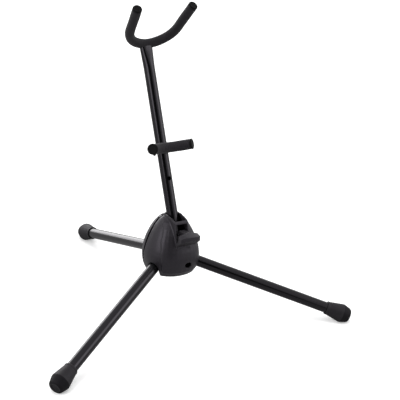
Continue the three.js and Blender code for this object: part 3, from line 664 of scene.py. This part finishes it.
def tip_cap(node_name, tip, outward, radius, body):
    """A turned disc on the end of a sleeve, its face about half a millimetre below its rounded rim."""
    face = 2.9 * mm
    outline = [
        [0, 0.3 * mm],
        [radius - 0.7 * mm, 0.3 * mm],
        [radius - 0.1 * mm, 0.9 * mm],
        [radius, 1.5 * mm],
        [radius - 0.5 * mm, face - 0.6 * mm],
        [radius - 1.4 * mm, face],
        [radius - 2.1 * mm, face - 0.1 * mm],
        [radius - 2.6 * mm, face - 0.6 * mm],
        [0, face - 0.4 * mm],
    ]
    cap = turned(f"{node_name}_rubber", tip, outward, rounded(outline, 0.5 * mm, 6), 64)
    cap.data.materials.append(tip_rubber)
    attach(cap, body)
    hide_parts(node_name)


for side_name, hand in (("left", -1.0), ("right", 1.0)):
    tip, inward, _ = yoke_path(np.array([hand * yoke_half]))
    outward = np.cross(yoke_out, inward[0]) * -hand
    outward = outward * np.sign(outward @ yoke_rise)
    tip_cap(f"yoke_cap_{side_name}", tip[0], outward, yoke_tip_radius, "upright")

# ------------------------------------------------------------------ lower rest
# A shorter bow of the same rod and foam, bolted square across the front of the upright. Its two arms
# come forward round the instrument's body; the bolt's head is welded in its middle.
rest_offset = 17.5 * mm
rest_half_chord, rest_dip = 30.4 * mm, 12.5 * mm
rest_radius = (rest_half_chord**2 + rest_dip**2) / (2 * rest_dip)
rest_half_angle = np.arcsin(rest_half_chord / rest_radius)
rest_sag = 1.2 * mm  # the soft sleeve's middle below the bolt
rest_sleeve_radius, rest_tip_radius = 7.5 * mm, 7.8 * mm
rest_centre = pivot + (rest_height - rest_sag) * up_tube


def rest_path(distance):
    """Centre line of the lower rest and its in-plane normal: one circle that starts square to the tube."""
    angle = distance / rest_radius
    x = rest_radius * np.sin(angle)
    ahead = rest_offset + rest_radius * (1 - np.cos(angle))
    centre = rest_centre + x[:, None] * to_right - ahead[:, None] * to_back
    inward = -np.sin(angle)[:, None] * to_right - np.cos(angle)[:, None] * to_back
    return centre, inward, np.ones_like(angle)


rest_half = rest_radius * rest_half_angle
rest_sleeve = grid_piece(
    "rest_sleeve_foam",
    sleeve_rings(rest_path, rest_half, rest_sleeve_radius, sleeve_bore, up_tube, 110, 0.14 * mm),
    wrap_rows=True,
)
rest_sleeve.data.materials.append(foam)
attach(rest_sleeve, "lower_rest")
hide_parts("rest_sleeve")
for side_name, hand in (("left", -1.0), ("right", 1.0)):
    tip, _, _ = rest_path(np.array([hand * rest_half]))
    outward = hand * np.cos(rest_half_angle) * to_right - np.sin(rest_half_angle) * to_back
    tip_cap(f"rest_cap_{side_name}", tip[0], outward, rest_tip_radius, "lower_rest")
for rod in ("yoke_rod", "rest_rod"):
    refinished(rod, enamel)

# ------------------------------------------------------------------ wing nut and lock lever
# Both are moulded in the hub's plastic. The nut's two ears stand out behind the upright; the lever's
# hooded thumb tab hangs out of the tower's window, and it is pressed to let the upright swing.
for name, voxel in (("wing_nut", 0.4 * mm), ("lock_lever", 0.45 * mm)):
    moulded = softened(clean_copy(name, f"{name}_moulded"), voxel, 5)
    moulded.data.materials.clear()
    moulded.data.materials.append(hub_plastic)
    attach(moulded, name)
    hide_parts(name)

# ------------------------------------------------------------------ floor
# A plain pale floor, wide enough for the main view, that keeps the stand's shadow. To the camera it is paler
# and glows a little, so that it ends in white; what it throws back on the stand is duller.
floor_half = 2.4
dull_floor, pale_floor, floor_glow = 0.45, 0.9, 0.26
floor_mesh = bpy.data.meshes.new("floor")
floor_corners = [(x * floor_half, y * floor_half, 0) for x, y in ((-1, -1), (1, -1), (1, 1), (-1, 1))]
floor_mesh.from_pydata(floor_corners, [], [(0, 1, 2, 3)])
floor = bpy.data.objects.new("floor", floor_mesh)
bpy.context.scene.collection.objects.link(floor)
pale = bpy.data.materials.new("pale_floor")
pale.use_nodes = True
tree = pale.node_tree
tree.nodes.clear()
output = tree.nodes.new("ShaderNodeOutputMaterial")
matt = tree.nodes.new("ShaderNodeBsdfDiffuse")
glow = tree.nodes.new("ShaderNodeEmission")
ray = tree.nodes.new("ShaderNodeLightPath")
shade = tree.nodes.new("ShaderNodeMapRange")
shade.inputs["To Min"].default_value = dull_floor
shade.inputs["To Max"].default_value = pale_floor
tree.links.new(ray.outputs["Is Camera Ray"], shade.inputs["Value"])
tree.links.new(shade.outputs["Result"], matt.inputs["Color"])
lift = tree.nodes.new("ShaderNodeMath")
lift.operation = "MULTIPLY"
lift.inputs[1].default_value = floor_glow
tree.links.new(ray.outputs["Is Camera Ray"], lift.inputs[0])
tree.links.new(lift.outputs[0], glow.inputs["Strength"])
both = tree.nodes.new("ShaderNodeAddShader")
tree.links.new(matt.outputs[0], both.inputs[0])
tree.links.new(glow.outputs[0], both.inputs[1])
tree.links.new(both.outputs[0], output.inputs["Surface"])
floor.data.materials.append(pale)

# ------------------------------------------------------------------ studio
# White all round, four large soft lamps, and a dark card on the camera's side of the stand, which gives
# the black tubes their dark middle line. Only reflections show the card, and none shows the top lamp.
world = bpy.data.worlds.new("studio")
bpy.context.scene.world = world
world.use_nodes = True
tree = world.node_tree
tree.nodes.clear()
output = tree.nodes.new("ShaderNodeOutputWorld")
room = tree.nodes.new("ShaderNodeBackground")
room.inputs["Color"].default_value = (1, 1, 1, 1)
room.inputs["Strength"].default_value = 0.42
white = tree.nodes.new("ShaderNodeBackground")
white.inputs["Color"].default_value = (1, 1, 1, 1)
white.inputs["Strength"].default_value = 1.0
ray = tree.nodes.new("ShaderNodeLightPath")
seen = tree.nodes.new("ShaderNodeMath")
seen.operation = "MAXIMUM"
tree.links.new(ray.outputs["Is Camera Ray"], seen.inputs[0])
tree.links.new(ray.outputs["Is Glossy Ray"], seen.inputs[1])
seen_through = tree.nodes.new("ShaderNodeMath")
seen_through.operation = "MAXIMUM"
tree.links.new(seen.outputs[0], seen_through.inputs[0])
tree.links.new(ray.outputs["Is Transmission Ray"], seen_through.inputs[1])
mix = tree.nodes.new("ShaderNodeMixShader")
tree.links.new(seen_through.outputs[0], mix.inputs[0])
tree.links.new(room.outputs[0], mix.inputs[1])
tree.links.new(white.outputs[0], mix.inputs[2])
tree.links.new(mix.outputs[0], output.inputs["Surface"])

camera_turn, camera_rise, camera_roll = np.radians([33.041, 23.172, 4.867])
level_right = np.array([np.cos(camera_turn), -np.sin(camera_turn), 0])
level_front = np.array([-np.sin(camera_turn), -np.cos(camera_turn), 0])
to_camera = np.cos(camera_rise) * level_front + np.sin(camera_rise) * np.array([0, 0, 1])
level_up = np.cross(to_camera, level_right)
camera_right = np.cos(camera_roll) * level_right + np.sin(camera_roll) * level_up
camera_up = np.cross(to_camera, camera_right)
stand_middle = np.array([0, -60, 180]) * mm
card_distance, card_half_width, card_half_height = 2.4, 1.35, 1.9
card_centre = stand_middle + card_distance * to_camera
corners = [
    card_centre + i * card_half_width * camera_right + j * card_half_height * camera_up
    for i, j in ((-1, -1), (1, -1), (1, 1), (-1, 1))
]
card_mesh = bpy.data.meshes.new("dark_card")
card_mesh.from_pydata(corners, [], [(0, 1, 2, 3)])
card = bpy.data.objects.new("dark_card", card_mesh)
bpy.context.scene.collection.objects.link(card)
dark = bpy.data.materials.new("dark_card")
dark.use_nodes = True
card_shader = dark.node_tree.nodes["Principled BSDF"]
card_shader.inputs["Base Color"].default_value = (0.0, 0.0, 0.0, 1)
card_shader.inputs["Specular IOR Level"].default_value = 0.0
card.data.materials.append(dark)
card.visible_camera = False
card.visible_diffuse = False
card.visible_shadow = False
card.visible_transmission = False

for name, position, width, height, power, in_reflections in (
    ("key", (-2.1, -0.6, 1.5), 1.8, 1.8, 34.0, True),
    ("back", (0.0, 2.6, 0.8), 2.4, 1.2, 38.0, True),
    ("fill", (1.7, -1.4, 1.3), 1.4, 1.4, 14.0, True),
    ("top", (0.1, 0.1, 2.4), 2.6, 2.6, 42.0, False),
):
    lamp_data = bpy.data.lights.new(name, "AREA")
    lamp_data.shape = "RECTANGLE"
    lamp_data.size = width
    lamp_data.size_y = height
    lamp_data.energy = power
    lamp = bpy.data.objects.new(name, lamp_data)
    bpy.context.scene.collection.objects.link(lamp)
    lamp.visible_glossy = in_reflections
    back = np.array(position) - stand_middle
    back /= np.linalg.norm(back)
    right = np.cross([0, 0, 1], back)
    right /= np.linalg.norm(right)
    pose = np.eye(4)
    pose[:3] = np.column_stack([right, np.cross(back, right), back, position])
    lamp.matrix_world = Matrix(pose)

# ------------------------------------------------------------------ camera
# A long lens above the stand, in front of it and to its left, rolled by a few degrees.
camera_place = np.array([-758.6, -1303.4, 800.9]) * mm
camera_data = bpy.data.cameras.new("camera")
camera_data.sensor_width = 36
camera_data.lens = 101.07
camera = bpy.data.objects.new("camera", camera_data)
bpy.context.scene.collection.objects.link(camera)
pose = np.eye(4)
pose[:3] = np.column_stack([camera_right, camera_up, to_camera, camera_place])
camera.matrix_world = Matrix(pose)
bpy.context.scene.camera = camera
bpy.context.scene.view_settings.view_transform = "Standard"
